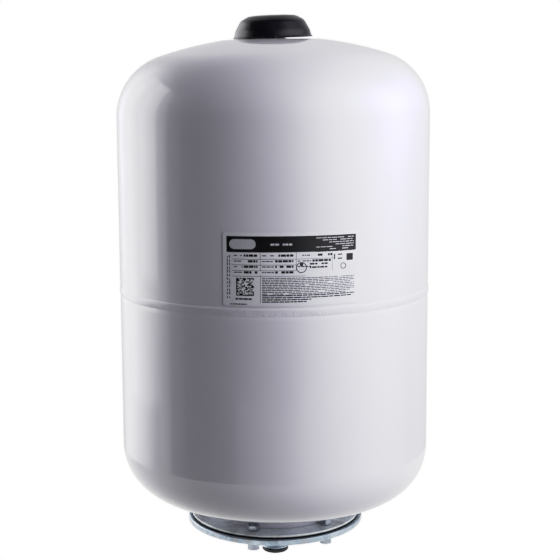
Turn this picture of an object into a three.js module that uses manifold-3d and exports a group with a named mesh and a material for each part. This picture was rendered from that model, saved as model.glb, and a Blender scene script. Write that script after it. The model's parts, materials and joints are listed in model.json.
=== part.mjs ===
// A 24 litre vertical expansion vessel with a replaceable bladder.
// Millimetres, +Z up. The origin is the centre of the water connection's end face, and the tank
// stands above it on the Z axis. The water connection points down, the air valve up.
//
// Two deep-drawn steel cups are joined by a girth weld. The lower cup ends in a short collar on a
// flat neck ring. A pressed counterflange, bolted under that ring, clamps the bladder's lip and
// carries the threaded water connection. The air valve sits in the top of the upper cup, under a
// dust cap and a push-on cover.

import * as THREE from "three";
import { mergeVertices } from "three/addons/utils/BufferGeometryUtils.js";
import Module from "manifold-3d";

const wasm = await Module();
wasm.setup();

// ---------------------------------------------------------------- driving dimensions

const TANK_R = 140; // outside radius of the tank
const WALL = 1.2; // shell thickness
const GAP = 0.3; // clearance between two separate pieces that touch
const TANK_SIDES = 40; // facets round the tank
const BLADDER_SIDES = 24;
const SMALL_SIDES = 16; // facets round the valve's small parts

const SEAM_Z = 249; // middle of the girth weld
const TOP_STRAIGHT = 155.7; // from the seam to where the top dome starts
const TOP_CROWN = 325;
const TOP_KNUCKLE = 56;
const BOTTOM_STRAIGHT = 145.2; // from the seam to where the bottom dome starts
const BOTTOM_CROWN = 313;
const BOTTOM_KNUCKLE = 47;

const FLANGE_R = 81; // counterflange, outside
const FLANGE_Z = 29; // underside of the counterflange
const PLATE = 3; // counterflange thickness
const RIM_HEIGHT = 5.5; // the counterflange's turned-up edge
const RIM_WALL = 2.6;
const DISH_R = 42; // flat raised centre round the connection
const DISH_RISE = 2.5;
const WELD_RECESS_R = 17.5; // shallow recess in the flat, which takes the nipple's weld
const WELD_RECESS = 0.4;

const RING_R = 77.8; // neck ring, outside
const RING_BORE = 50;
const RING_Z = FLANGE_Z + 6.5; // underside of the neck ring
const RING_PLATE = 2.2;
const RING_TOP = RING_Z + RING_PLATE;
const COLLAR_R = 59; // the lower cup's short neck, outside

const BOLTS = 6;
const BOLT_CIRCLE_R = 66.5;
const FIRST_BOLT_DEG = -17; // from the front (-Y), towards +X
const BOLT_R = 2.9; // M6 shank
const BOLT_HOLE_R = 3.4;
const HEX_FLATS = 10; // M6 across flats
const HEAD_HEIGHT = 6.4; // a flanged hexagon head
const HEAD_FLANGE_R = 6.8;
const HEAD_FLANGE = 1.2;
const NUT_HEIGHT = 5;
const WASHER_R = 6;
const WASHER = 1.6;

const NIPPLE_R = 13.2; // G 3/4 male thread, over the crests
const NIPPLE_BORE = 10;

const VALVE_HOLE_R = 8.3;
const COVER_LEAN_DEG = 1.9; // the push-on cover sits a little crooked: high on its +X side
const COVER_NOD_DEG = 2.3; // and low at the front
const COVER_R = 35.6;

const LABEL_FROM_DEG = -17.3; // from the front (-Y), towards +X
const LABEL_TO_DEG = 30.3;
const LABEL_LOW = SEAM_Z + 4.8;
const LABEL_HIGH = SEAM_Z + 65;

const RAD = Math.PI / 180;

// ---------------------------------------------------------------- materials

const finish = (color, roughness, metalness) =>
  new THREE.MeshStandardMaterial({ color, roughness, metalness });

const paint = finish(0xd6d5de, 0.25, 0.0);
const zinc = finish(0xb4bbc4, 0.35, 1.0);
const steel = finish(0x8e9298, 0.4, 1.0);
const brass = finish(0xc9a24a, 0.3, 1.0);
const blackPlastic = finish(0x17171a, 0.3, 0.0);
const rubber = finish(0x1b1b1b, 0.8, 0.0);
const ptfe = finish(0xc8372d, 0.5, 0.0);
const paper = finish(0xe9e9ee, 0.5, 0.0);

// ---------------------------------------------------------------- geometry helpers

const p = (r, z) => new THREE.Vector2(r, z);

// Points of an arc round (r, z), from one angle to another, in degrees from +R towards +Z.
function arc(r, z, radius, from, to, steps) {
  const points = [];
  for (let i = 0; i <= steps; i++) {
    const a = (from + ((to - from) * i) / steps) * RAD;
    points.push(p(r + radius * Math.cos(a), z + radius * Math.sin(a)));
  }
  return points;
}

// A solid of revolution round Z. The profile is closed here, and may run either way round.
function turned(profile, sides) {
  let area = 0;
  profile.forEach((a, i) => {
    const b = profile[(i + 1) % profile.length];
    area += a.x * b.y - b.x * a.y;
  });
  const points = area > 0 ? [...profile] : [...profile].reverse();
  points.push(points[0].clone());
  return new THREE.LatheGeometry(points, sides).rotateX(Math.PI / 2);
}

const tube = (inner, outer, low, high, sides) =>
  turned([p(inner, low), p(outer, low), p(outer, high), p(inner, high)], sides);

function rod(radius, low, high, sides) {
  const made = new THREE.CylinderGeometry(radius, radius, high - low, sides);
  return made.rotateX(Math.PI / 2).translate(0, 0, (low + high) / 2);
}

// A hexagonal prism with a flat facing +X and a flat facing -X.
const hexagon = (acrossFlats, low, high) => rod(acrossFlats / 2 / Math.cos(30 * RAD), low, high, 6);

function toSolid(geometry) {
  const bare = geometry.clone();
  bare.deleteAttribute("normal");
  bare.deleteAttribute("uv");
  const merged = mergeVertices(bare, 1e-4);
  return new wasm.Manifold(
    new wasm.Mesh({
      numProp: 3,
      vertProperties: new Float32Array(merged.attributes.position.array),
      triVerts: new Uint32Array(merged.index.array),
    }),
  );
}

function toGeometry(solid) {
  const mesh = solid.getMesh();
  const made = new THREE.BufferGeometry();
  made.setAttribute("position", new THREE.BufferAttribute(mesh.vertProperties, 3));
  made.setIndex(new THREE.BufferAttribute(mesh.triVerts, 1));
  return made;
}

const cut = (body, ...tools) =>
  toGeometry(tools.reduce((left, tool) => left.subtract(toSolid(tool)), toSolid(body)));

const join = (...parts) =>
  toGeometry(parts.map(toSolid).reduce((whole, part) => whole.add(part)));

const vessel = new THREE.Group();

function piece(name, geometry, material, holder = vessel) {
  const mesh = new THREE.Mesh(geometry, material);
  mesh.name = name;
  holder.add(mesh);
  return mesh;
}

// ---------------------------------------------------------------- tank

// Outside outline of a torispherical end: from the straight wall over the knuckle and along the
// crown to the radius where it stops. "up" is 1 for the top end and -1 for the bottom one.
function dome(tangentZ, crown, knuckle, up, inset, stopR, steps) {
  const centreR = TANK_R - knuckle;
  const drop = Math.sqrt((crown - knuckle) ** 2 - centreR ** 2);
  const crownZ = tangentZ - up * drop;
  const meet = Math.atan2(drop, centreR) / RAD;
  const stop = Math.acos(stopR / (crown - inset)) / RAD;
  return [
    ...arc(centreR, tangentZ, knuckle - inset, 0, up * meet, steps),
    ...arc(0, crownZ, crown - inset, up * meet, up * stop, steps).slice(1),
  ];
}

const crownApex = (tangentZ, crown, knuckle, up) =>
  tangentZ + up * (crown - Math.sqrt((crown - knuckle) ** 2 - (TANK_R - knuckle) ** 2));

const TOP_TANGENT = SEAM_Z + TOP_STRAIGHT;
const BOTTOM_TANGENT = SEAM_Z - BOTTOM_STRAIGHT;
const APEX = crownApex(TOP_TANGENT, TOP_CROWN, TOP_KNUCKLE, 1);

const LAND_R = 46; // flat on top of the tank, round the valve hole
const LAND_Z = APEX - 3.25;
const VALVE_SEAT = LAND_Z + GAP;
const CUP_EDGE = 2.6; // from the seam's middle to each cup's edge
const JOGGLE_R = TANK_R - WALL - 0.4; // the lower cup's edge slips inside the upper cup
const JOGGLE_HEIGHT = 12;

function upperShell() {
  const outside = dome(TOP_TANGENT, TOP_CROWN, TOP_KNUCKLE, 1, 0, LAND_R + 2, 4);
  const inside = dome(TOP_TANGENT, TOP_CROWN, TOP_KNUCKLE, 1, WALL, LAND_R + 2, 4);
  const profile = [
    p(TANK_R, SEAM_Z + CUP_EDGE),
    ...outside,
    p(LAND_R, LAND_Z),
    p(VALVE_HOLE_R, LAND_Z),
    p(VALVE_HOLE_R, LAND_Z - WALL),
    p(LAND_R, LAND_Z - WALL),
    ...inside.reverse(),
    p(TANK_R - WALL, SEAM_Z + CUP_EDGE),
  ];
  return turned(profile, TANK_SIDES);
}

function lowerShell() {
  const outside = dome(BOTTOM_TANGENT, BOTTOM_CROWN, BOTTOM_KNUCKLE, -1, 0, COLLAR_R + 3, 4);
  const inside = dome(BOTTOM_TANGENT, BOTTOM_CROWN, BOTTOM_KNUCKLE, -1, WALL, COLLAR_R + 1.5, 4);
  const foot = RING_TOP + GAP;
  const turn = outside[outside.length - 1].y;
  const profile = [
    p(JOGGLE_R, SEAM_Z + JOGGLE_HEIGHT),
    p(JOGGLE_R, SEAM_Z - 0.6),
    p(TANK_R, SEAM_Z - CUP_EDGE),
    ...outside,
    p(COLLAR_R, turn - 2),
    p(COLLAR_R, foot),
    p(COLLAR_R - WALL, foot),
    p(COLLAR_R - WALL, turn - 0.5),
    ...inside.reverse(),
    p(TANK_R - WALL, SEAM_Z - CUP_EDGE - 0.6),
    p(JOGGLE_R - WALL, SEAM_Z - 1.2),
    p(JOGGLE_R - WALL, SEAM_Z + JOGGLE_HEIGHT),
  ];
  return turned(profile, TANK_SIDES);
}

// The bead fills the groove between the cups and stands a little proud of them.
function girthWeld() {
  const root = JOGGLE_R + 0.4;
  const skin = TANK_R + GAP;
  const profile = [
    p(root, SEAM_Z + 0.1),
    p(skin, SEAM_Z - 1.9),
    p(skin, SEAM_Z - 3.4),
    p(skin + 0.35, SEAM_Z - 2.6),
    p(skin + 0.65, SEAM_Z),
    p(skin + 0.35, SEAM_Z + 2.6),
    p(skin, SEAM_Z + 3.4),
    p(skin, SEAM_Z + CUP_EDGE - GAP),
    p(root, SEAM_Z + CUP_EDGE - GAP),
  ];
  return turned(profile, TANK_SIDES);
}

// A triangular fillet weld round Z, against a wall at radius r and a face at height z.
const filletWeld = (r, z, leg, up) =>
  turned([p(r, z), p(r + leg, z), p(r, z + up * leg)], TANK_SIDES);

function ratingLabel() {
  const inner = TANK_R + 0.35;
  const steps = 12;
  const outline = new THREE.Shape();
  const angle = (i) => (-90 + LABEL_FROM_DEG + ((LABEL_TO_DEG - LABEL_FROM_DEG) * i) / steps) * RAD;
  const at = (r, i) => [r * Math.cos(angle(i)), r * Math.sin(angle(i))];
  outline.moveTo(...at(inner, 0));
  for (let i = 1; i <= steps; i++) outline.lineTo(...at(inner, i));
  for (let i = steps; i >= 0; i--) outline.lineTo(...at(inner + 0.3, i));
  outline.closePath();
  const depth = LABEL_HIGH - LABEL_LOW;
  return new THREE.ExtrudeGeometry(outline, { depth, bevelEnabled: false }).translate(0, 0, LABEL_LOW);
}

piece("upper_shell", upperShell(), paint);
piece("lower_shell", lowerShell(), paint);
piece("girth_weld", girthWeld(), paint);
piece("rating_label", ratingLabel(), paper);

// ---------------------------------------------------------------- neck, flange and bolts

// The place of each bolt, and the turn that sets a hexagon's flat towards the tank's axis.
const boltTurn = (i) => (FIRST_BOLT_DEG - 90 + (360 / BOLTS) * i) * RAD;

function atBolt(geometry, i) {
  return geometry.translate(BOLT_CIRCLE_R, 0, 0).rotateZ(boltTurn(i));
}

function boltHoles(low, high) {
  const tools = [];
  for (let i = 0; i < BOLTS; i++) tools.push(atBolt(rod(BOLT_HOLE_R, low, high, 12), i));
  return tools;
}

function neckRing() {
  const ring = tube(RING_BORE, RING_R, RING_Z, RING_TOP, TANK_SIDES);
  return cut(ring, ...boltHoles(RING_Z - 1, RING_TOP + 1));
}

// A pressed plate: turned-up rim, flat bolt circle, and a flat raised centre.
function counterflange() {
  const rimInner = FLANGE_R - RIM_WALL;
  const rimTop = FLANGE_Z + RIM_HEIGHT;
  const hole = NIPPLE_R + GAP;
  const dishUnder = FLANGE_Z + DISH_RISE;
  const profile = [
    p(hole, dishUnder + WELD_RECESS),
    p(WELD_RECESS_R, dishUnder + WELD_RECESS),
    p(WELD_RECESS_R, dishUnder),
    p(DISH_R, dishUnder),
    p(DISH_R + 2.5, FLANGE_Z),
    p(FLANGE_R - 2, FLANGE_Z),
    p(FLANGE_R - 0.6, FLANGE_Z + 0.6),
    p(FLANGE_R, FLANGE_Z + 2),
    p(FLANGE_R, rimTop - 1),
    p(FLANGE_R - 0.8, rimTop),
    p(rimInner, rimTop),
    p(rimInner, FLANGE_Z + PLATE),
    p(DISH_R + 3.7, FLANGE_Z + PLATE),
    p(DISH_R + 1.2, dishUnder + PLATE),
    p(hole, dishUnder + PLATE),
  ];
  return cut(turned(profile, TANK_SIDES), ...boltHoles(FLANGE_Z - 1, FLANGE_Z + PLATE + 1));
}

const WASHER_LOW = FLANGE_Z - GAP - WASHER;
const HEAD_TOP = WASHER_LOW - GAP;
const NUT_LOW = RING_TOP + GAP;
const BOLT_END = NUT_LOW + NUT_HEIGHT + 0.7;

function flangeBolt() {
  const head = hexagon(HEX_FLATS, HEAD_TOP - HEAD_HEIGHT, HEAD_TOP - 0.5);
  const collar = rod(HEAD_FLANGE_R, HEAD_TOP - HEAD_FLANGE, HEAD_TOP, 16);
  return join(head, collar, rod(BOLT_R, HEAD_TOP - 1, BOLT_END, 12));
}

function flangeNut() {
  const body = hexagon(HEX_FLATS, NUT_LOW, NUT_LOW + NUT_HEIGHT);
  return cut(body, rod(BOLT_R + 0.3, NUT_LOW - 1, NUT_LOW + NUT_HEIGHT + 1, 12));
}

piece("neck_ring", neckRing(), zinc);
piece("neck_weld", filletWeld(COLLAR_R + GAP, RING_TOP + GAP, 1.5, 1), paint);
piece("counterflange", counterflange(), zinc);

for (let i = 0; i < BOLTS; i++) {
  const washer = tube(BOLT_HOLE_R, WASHER_R, WASHER_LOW, WASHER_LOW + WASHER, 16);
  piece(`flange_bolt_${i + 1}`, atBolt(flangeBolt(), i), zinc);
  piece(`flange_nut_${i + 1}`, atBolt(flangeNut(), i), zinc);
  piece(`bolt_washer_${i + 1}`, atBolt(washer, i), zinc);
}

// ---------------------------------------------------------------- water connection

const DISH_UNDER = FLANGE_Z + DISH_RISE;

function connectionNipple() {
  const chamfer = 1.2;
  const top = DISH_UNDER + PLATE + GAP;
  const profile = [
    p(NIPPLE_BORE, 0),
    p(NIPPLE_R - chamfer, 0),
    p(NIPPLE_R, chamfer),
    p(NIPPLE_R, top),
    p(NIPPLE_BORE, top),
  ];
  return turned(profile, 32);
}

// A soft plug for transport: a round flange over the end face, and a hollow stem in the bore.
const PLUG_FLANGE = 3;
const PLUG_STEM = 11;

function transportPlug() {
  const low = -GAP - PLUG_FLANGE;
  const profile = [
    p(0, low),
    p(11.5, low),
    p(13, low + 1.2),
    p(13, -GAP),
    p(9.5, -GAP),
    p(9.1, PLUG_STEM),
    p(7.7, PLUG_STEM),
    p(7.7, low + 2),
    p(0, low + 2),
  ];
  return turned(profile, 32);
}

piece("connection_nipple", connectionNipple(), zinc);
piece("nipple_weld", filletWeld(NIPPLE_R + GAP, DISH_UNDER + WELD_RECESS - GAP, 3, -1), zinc);
piece("transport_plug", transportPlug(), blackPlastic);

// ---------------------------------------------------------------- bladder

// A moulded bag in its relaxed shape. Its lip lies between the counterflange and the neck ring.
function bladder() {
  const skin = 2;
  const lipLow = FLANGE_Z + PLATE + GAP;
  const lipHigh = RING_Z - GAP;
  const neckR = RING_BORE - 0.6;
  const bagR = 119;
  const shoulderZ = 112;
  const shoulderR = 52;
  const topZ = 328;
  const rise = 62;
  const outside = [p(60.5, lipLow), p(60.5, lipHigh), p(neckR, lipHigh), p(neckR, 52)];
  const inside = [p(neckR - 3.2, lipLow), p(neckR - 3.2, 53)];
  for (const [list, inset] of [[outside, 0], [inside, skin]]) {
    list.push(...arc(bagR - shoulderR, shoulderZ, shoulderR - inset, -80, 0, 4));
    for (let i = 0; i <= 5; i++) {
      const a = (i / 5) * 90 * RAD;
      const r = i === 5 ? 0 : (bagR - inset) * Math.cos(a);
      list.push(p(r, topZ + (rise - inset) * Math.sin(a)));
    }
  }
  return turned([...outside, ...inside.reverse()], BLADDER_SIDES);
}

piece("bladder", bladder(), rubber);

// ---------------------------------------------------------------- air valve

const up = (z) => VALVE_SEAT + z; // heights of the valve's parts are counted from its seat
const small = (profile) => turned(profile.map(([r, z]) => p(r, up(z))), SMALL_SIDES);

const STEM_TOP = 10.6;
const STEM_R = 3.85;
const STEM_BORE = 2.75;
const SOCKET = 3.4; // floor of the body's socket, which holds the stem
const valveBody = small([
  [STEM_BORE, SOCKET],
  [STEM_R + GAP, SOCKET],
  [STEM_R + GAP, 6.4],
  [7.7, 6.4],
  [7.7, -4.9],
  [11.5, -4.9],
  [11.5, -8],
  [5, -8],
  [5, -16],
  [1.4, -16],
  [1.4, -13],
  [2.45, -13],
  [2.45, -1.5],
  [STEM_BORE, -1.2],
]);

const valveStem = small([
  [STEM_BORE, SOCKET + GAP],
  [STEM_R, SOCKET + GAP],
  [STEM_R, STEM_TOP],
  [STEM_BORE, STEM_TOP],
]);

const valveCoreBody = small([
  [0.85, 6],
  [2.6, 6],
  [2.6, 1],
  [1.7, 1],
  [1.7, -4],
  [0.85, -4],
]);

const springTop = -6.2;
const springLow = -12.6;
const WIRE_R = 0.22;

class Coil extends THREE.Curve {
  getPoint(t, target = new THREE.Vector3()) {
    const a = t * 5 * 2 * Math.PI;
    const low = springLow + WIRE_R;
    const high = springTop - WIRE_R;
    return target.set(1.6 * Math.cos(a), 1.6 * Math.sin(a), up(low + (high - low) * t));
  }
}

function coreSpring() {
  const section = new THREE.Shape();
  for (let i = 0; i < 5; i++) {
    const a = (i / 5) * 2 * Math.PI;
    const at = [WIRE_R * Math.cos(a), WIRE_R * Math.sin(a)];
    if (i) section.lineTo(...at);
    else section.moveTo(...at);
  }
  section.closePath();
  return new THREE.ExtrudeGeometry(section, { steps: 50, extrudePath: new Coil(), bevelEnabled: false });
}

function valveNut() {
  const body = hexagon(22, up(1.5), up(6.2));
  return cut(body, rod(8, up(0), up(8), SMALL_SIDES));
}

piece("valve_body", valveBody, brass);
piece("valve_stem", valveStem, brass);
piece("valve_gasket", small([[8.1, -4.6], [11.5, -4.6], [11.5, -2.1], [8.1, -2.1]]), rubber);
piece("valve_washer", small([[8.1, 0], [13, 0], [13, 1.2], [8.1, 1.2]]), zinc);
piece("valve_nut", valveNut(), zinc);
piece("valve_core_body", valveCoreBody, brass);
piece("valve_core_seal", small([[1.8, -1], [2.35, -1], [2.35, 0.8], [1.8, 0.8]]), ptfe);
piece("valve_core_pin", small([[0, -8], [0.55, -8], [0.55, 9.9], [0, 9.9]]), brass);
piece("valve_core_cup", small([[0.65, -5.9], [1.7, -5.9], [1.7, -4.2], [0.65, -4.2]]), rubber);
piece("valve_core_spring", coreSpring(), steel);

const dustCap = small([
  [4.35, 7.2],
  [5.6, 7.2],
  [5.6, 11.8],
  [5, 12.5],
  [0, 12.5],
  [0, 11.5],
  [4.35, 11.5],
]);
piece("dust_cap", dustCap, blackPlastic);
piece("dust_cap_seal", small([[0, 10.7], [4.1, 10.7], [4.1, 11.4], [0, 11.4]]), rubber);

// ---------------------------------------------------------------- cover over the valve

// A low round cap. One side of its skirt rests on the tank's flat top, and a sleeve inside it
// fits loosely over the valve nut. Heights here are counted from the skirt's edge.
function valveCover() {
  const height = 20.5;
  const wall = 1.8;
  const outside = [
    p(COVER_R, 0),
    p(34.3, 4.8),
    p(30.7, 12.1),
    p(27.1, 16.5),
    p(23.5, 18.5),
    p(16.3, 20),
    p(0, height),
  ];
  const sleeveIn = 13.6;
  const sleeveOut = 15;
  const sleeveLow = 3;
  const inside = [
    p(0, height - wall),
    p(sleeveIn, height - wall - 0.3),
    p(sleeveIn, sleeveLow),
    p(sleeveOut, sleeveLow),
    p(sleeveOut, height - wall - 0.4),
    p(22.9, 16.8),
    p(25.9, 15.1),
    p(29.2, 11.2),
    p(32.6, 4.2),
    p(COVER_R - wall, 0),
  ];
  return turned([...outside, ...inside], 32);
}

const cover = new THREE.Group();
cover.position.z = LAND_Z + COVER_R * Math.sin(Math.hypot(COVER_LEAN_DEG, COVER_NOD_DEG) * RAD) + 0.15;
cover.rotation.set(COVER_NOD_DEG * RAD, -COVER_LEAN_DEG * RAD, 0);
vessel.add(cover);
piece("valve_cover", valveCover(), blackPlastic, cover);

export default vessel;
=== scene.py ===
"""The looks of a 24 litre expansion vessel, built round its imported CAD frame.

Shapes are worked out in millimetres, in the frame's own axes: +Z up, -Y the front with the label.
An angle called "turn" is in degrees from the front towards +X.
"""

import json
import math
import random

import bmesh
import bpy
from mathutils import Matrix, Vector, noise


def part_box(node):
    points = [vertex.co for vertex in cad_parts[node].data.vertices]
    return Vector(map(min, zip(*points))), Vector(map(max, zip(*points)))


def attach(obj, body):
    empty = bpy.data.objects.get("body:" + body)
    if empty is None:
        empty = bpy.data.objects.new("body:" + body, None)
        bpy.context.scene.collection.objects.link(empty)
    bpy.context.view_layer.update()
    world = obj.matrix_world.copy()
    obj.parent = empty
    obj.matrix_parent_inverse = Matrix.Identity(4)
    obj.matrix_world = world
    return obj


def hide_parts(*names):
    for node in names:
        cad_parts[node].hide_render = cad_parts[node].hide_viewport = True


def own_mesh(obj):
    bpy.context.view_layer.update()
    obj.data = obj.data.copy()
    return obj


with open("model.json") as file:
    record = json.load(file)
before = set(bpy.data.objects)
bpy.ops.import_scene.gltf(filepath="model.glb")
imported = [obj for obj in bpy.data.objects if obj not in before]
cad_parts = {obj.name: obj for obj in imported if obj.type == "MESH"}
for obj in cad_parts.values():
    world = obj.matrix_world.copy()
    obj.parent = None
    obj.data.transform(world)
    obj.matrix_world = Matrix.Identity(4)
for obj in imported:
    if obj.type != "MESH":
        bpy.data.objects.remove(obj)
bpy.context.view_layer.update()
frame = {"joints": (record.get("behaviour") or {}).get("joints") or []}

MM = 0.001


def box_mm(node):
    low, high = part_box(node)
    return low / MM, high / MM


# -------- sizes read from the frame

TANK_R = box_mm("lower_shell")[1].x
SEAM_Z = sum(corner.z for corner in box_mm("girth_weld")) / 2
FLANGE_R = box_mm("counterflange")[1].x
FLANGE_Z = box_mm("counterflange")[0].z
RIM_TOP = box_mm("counterflange")[1].z
RING_R = box_mm("neck_ring")[1].x
RING_Z = box_mm("neck_ring")[0].z
RING_TOP = box_mm("neck_ring")[1].z
PLUG_LOW = box_mm("transport_plug")[0].z
VALVE_SEAT = box_mm("valve_washer")[0].z
COVER_LIFT = next(j for j in frame["joints"] if j["name"] == "cover_lift")

# -------- sizes shared with the CAD

WALL = 1.2
GAP = 0.3
CUP_GAP = 2.6  # from the seam to the edge of either cup
TOP_STRAIGHT, TOP_CROWN, TOP_KNUCKLE = 155.7, 325, 56
BOTTOM_STRAIGHT, BOTTOM_CROWN, BOTTOM_KNUCKLE = 145.2, 313, 47
COLLAR_R = 59
VALVE_HOLE_R = 8.3
PLATE = 3
DISH_R, DISH_RISE = 42, 2.5
RING_BORE = 50
BOLTS, BOLT_CIRCLE_R, FIRST_BOLT_TURN = 6, 66.5, -17
BOLT_R, BOLT_PITCH, BOLT_HOLE_R, HEX_FLATS = 3.0, 1.0, 3.4, 10
HEAD_FLANGE_R, HEAD_FLANGE = 6.8, 1.2
NIPPLE_R, NIPPLE_BORE, NIPPLE_PITCH = 13.2, 10, 1.814
STEM_R, STEM_BORE, STEM_PITCH = 3.85, 2.75, 0.794
LABEL_TURNS = (-17.2, 30.2)
LABEL_HEIGHTS = (SEAM_Z + 4.9, SEAM_Z + 64.9)
LABEL_R = TANK_R + 0.75
LAND_R, LAND_Z = 46, VALVE_SEAT - GAP
TOP_TANGENT = SEAM_Z + TOP_STRAIGHT
BOTTOM_TANGENT = SEAM_Z - BOTTOM_STRAIGHT

SHARP = 35  # an edge that turns by more degrees than this is shaded sharp

# -------- camera and light

EYE_BACK, EYE_ABOVE_SEAM = 1.175, 0.1883  # metres
LOOK_DOWN, ROLL = 7.66, -0.29  # degrees
SKY = 1.2  # the sky's radiance as the camera sees it

# How bright the camera shows a radiance, between black and the sky.
RESPONSE = ((0.06, 0.040), (0.17, 0.125), (0.30, 0.28), (0.52, 0.56), (0.75, 0.74), (1.05, 0.87))

# The ends of the panel on the left, seen from above, its foot and its top, in metres.
PANEL_FRONT, PANEL_BACK = Vector((-1.201, -0.018, 0)), Vector((-0.738, 1.02, 0))
PANEL_FOOT, PANEL_TOP = -0.6, 1.17

# Its lights: start and end, as shares of the way from front to back, then low edge and radiance.
# The first two spill past the front.
PANEL_BOXES = (
    ("spill", -0.5, 0, PANEL_FOOT, 0.2),
    ("spill_edge", -0.22, 0, PANEL_FOOT, 0.55),
    ("panel", 0, 1, PANEL_FOOT, 0.2),
    ("panel_front", 0, 0.66, -0.1, 0.65),
    ("panel_edge", 0, 0.33, 0.1, 0.8),
)
KEY_AWAY, LOW_AWAY = 0.75, 0.8  # metres from the axis

TABLE_R, TABLE_DROP = 500, 33  # millimetres, the drop from the plug


def heading(turn):
    """The level direction at a turn from the front."""
    angle = math.radians(turn)
    return Vector((math.sin(angle), -math.cos(angle), 0))


def make_camera():
    lens = bpy.data.cameras.new("camera")
    lens.sensor_width = 36
    lens.lens = 83.2
    lens.shift_x = 0.0109
    lens.shift_y = -0.05
    lens.clip_start = 0.01
    camera = bpy.data.objects.new("camera", lens)
    place = Matrix.Translation((0, -EYE_BACK, SEAM_Z * MM + EYE_ABOVE_SEAM))
    pitch = Matrix.Rotation(math.radians(90 - LOOK_DOWN), 4, "X")
    roll = Matrix.Rotation(math.radians(ROLL), 4, "Z")
    camera.matrix_world = place @ pitch @ roll
    bpy.context.scene.collection.objects.link(camera)
    bpy.context.scene.camera = camera


def softbox(name, near, far, low, high, radiance):
    """An upright light between two places on the plan and two heights, in metres, facing the axis."""
    light = bpy.data.lights.new(name, "AREA")
    light.shape = "RECTANGLE"
    light.size, light.size_y = (far - near).length, high - low
    light.energy = radiance * math.pi * light.size * light.size_y
    lamp = bpy.data.objects.new(name, light)
    middle = (near + far) / 2
    lamp.location = middle + Vector((0, 0, (low + high) / 2))
    lamp.rotation_euler = (-middle).to_track_quat("-Z", "Y").to_euler()
    bpy.context.scene.collection.objects.link(lamp)
    return lamp


def make_response():
    """A contrasty camera: deep shadows, rolled-off highlights, and white where the sky shows."""
    view = bpy.context.scene.view_settings
    view.view_transform = "Standard"
    view.use_curve_mapping = True
    mapping = view.curve_mapping
    mapping.clip_max_x = mapping.clip_max_y = SKY
    curve = mapping.curves[3]  # the one for all three colours
    curve.points[0].location = (0, 0)
    curve.points[-1].location = (SKY, 1.0)
    for light, shown in RESPONSE:
        curve.points.new(light, shown)
    mapping.update()


def make_lights():
    """A tall panel on the left, brightest near its front edge, a high key on the right and a low front light.

    The key is close, so that the vessel darkens towards its foot. It makes no highlight of its own.
    """
    for name, start, end, low, radiance in PANEL_BOXES:
        near, far = PANEL_FRONT.lerp(PANEL_BACK, start), PANEL_FRONT.lerp(PANEL_BACK, end)
        softbox(name, near, far, low, PANEL_TOP, radiance)
    key = softbox("key", heading(40) * KEY_AWAY, heading(94) * KEY_AWAY, 0.4, 1.0, 3.8)
    key.visible_glossy = False
    softbox("low", heading(-25) * LOW_AWAY, heading(25) * LOW_AWAY, -0.2, 0.02, 0.3)


class World:
    """Pools of light added up round the whole sky."""

    def __init__(self, name):
        world = bpy.data.worlds.new(name)
        bpy.context.scene.world = world
        world.use_nodes = True
        self.nodes, self.links = world.node_tree.nodes, world.node_tree.links
        self.nodes.clear()
        self.around = self.nodes.new("ShaderNodeTexCoord").outputs["Generated"]
        self.total = None

    def pool(self, turn, rise, reach, radiance):
        """Light from a turn and rise, in degrees, which fades to nothing at its reach."""
        level, up = math.cos(math.radians(rise)), math.sin(math.radians(rise))
        towards = self.nodes.new("ShaderNodeVectorMath")
        towards.operation = "DOT_PRODUCT"
        towards.inputs[1].default_value = heading(turn) * level + Vector((0, 0, up))
        fade = self.nodes.new("ShaderNodeMapRange")
        fade.interpolation_type = "SMOOTHSTEP"
        fade.inputs["From Min"].default_value = math.cos(math.radians(reach))
        fade.inputs["To Max"].default_value = radiance
        self.links.new(self.around, towards.inputs[0])
        self.links.new(towards.outputs["Value"], fade.inputs["Value"])
        self.sum(fade.outputs["Result"])

    def sum(self, value):
        if self.total is not None:
            both = self.nodes.new("ShaderNodeMath")
            self.links.new(self.total, both.inputs[0])
            self.links.new(value, both.inputs[1])
            value = both.outputs["Value"]
        self.total = value

    def finish(self):
        """White to the camera, and the pools' light to everything else."""
        seen = self.nodes.new("ShaderNodeBackground")
        seen.inputs["Color"].default_value = (1, 1, 1, 1)
        seen.inputs["Strength"].default_value = SKY
        lit = self.nodes.new("ShaderNodeBackground")
        lit.inputs["Color"].default_value = (0.97, 0.97, 1.0, 1)
        rays = self.nodes.new("ShaderNodeLightPath")
        mix = self.nodes.new("ShaderNodeMixShader")
        out = self.nodes.new("ShaderNodeOutputWorld")
        self.links.new(self.total, lit.inputs["Strength"])
        self.links.new(rays.outputs["Is Camera Ray"], mix.inputs["Fac"])
        self.links.new(lit.outputs["Background"], mix.inputs[1])
        self.links.new(seen.outputs["Background"], mix.inputs[2])
        self.links.new(mix.outputs["Shader"], out.inputs["Surface"])


def make_world():
    """A wide soft light on the right, a pale wall behind, a glow round the panel, and a dark front."""
    world = World("studio")
    world.pool(turn=64, rise=4, reach=60, radiance=1.6)
    world.pool(turn=180, rise=5, reach=90, radiance=0.7)
    world.pool(turn=-122, rise=6, reach=44, radiance=1.7)
    world.finish()


def make_floor():
    """A glowing table, below the reach of the pulled plug. Only reflections show it."""
    code = bmesh.new()
    bmesh.ops.create_circle(code, cap_ends=True, segments=64, radius=TABLE_R)
    bmesh.ops.translate(code, verts=code.verts, vec=(0, 0, PLUG_LOW - TABLE_DROP))
    made, n = new_material("glowing_table")
    n.set(Base_Color=(0, 0, 0), Specular_IOR_Level=0, Emission_Color=(1, 1, 1), Emission_Strength=1.0)
    floor = finish_mesh("table", code, made)
    floor.visible_diffuse = False
    floor.visible_camera = False


# -------- materials

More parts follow.
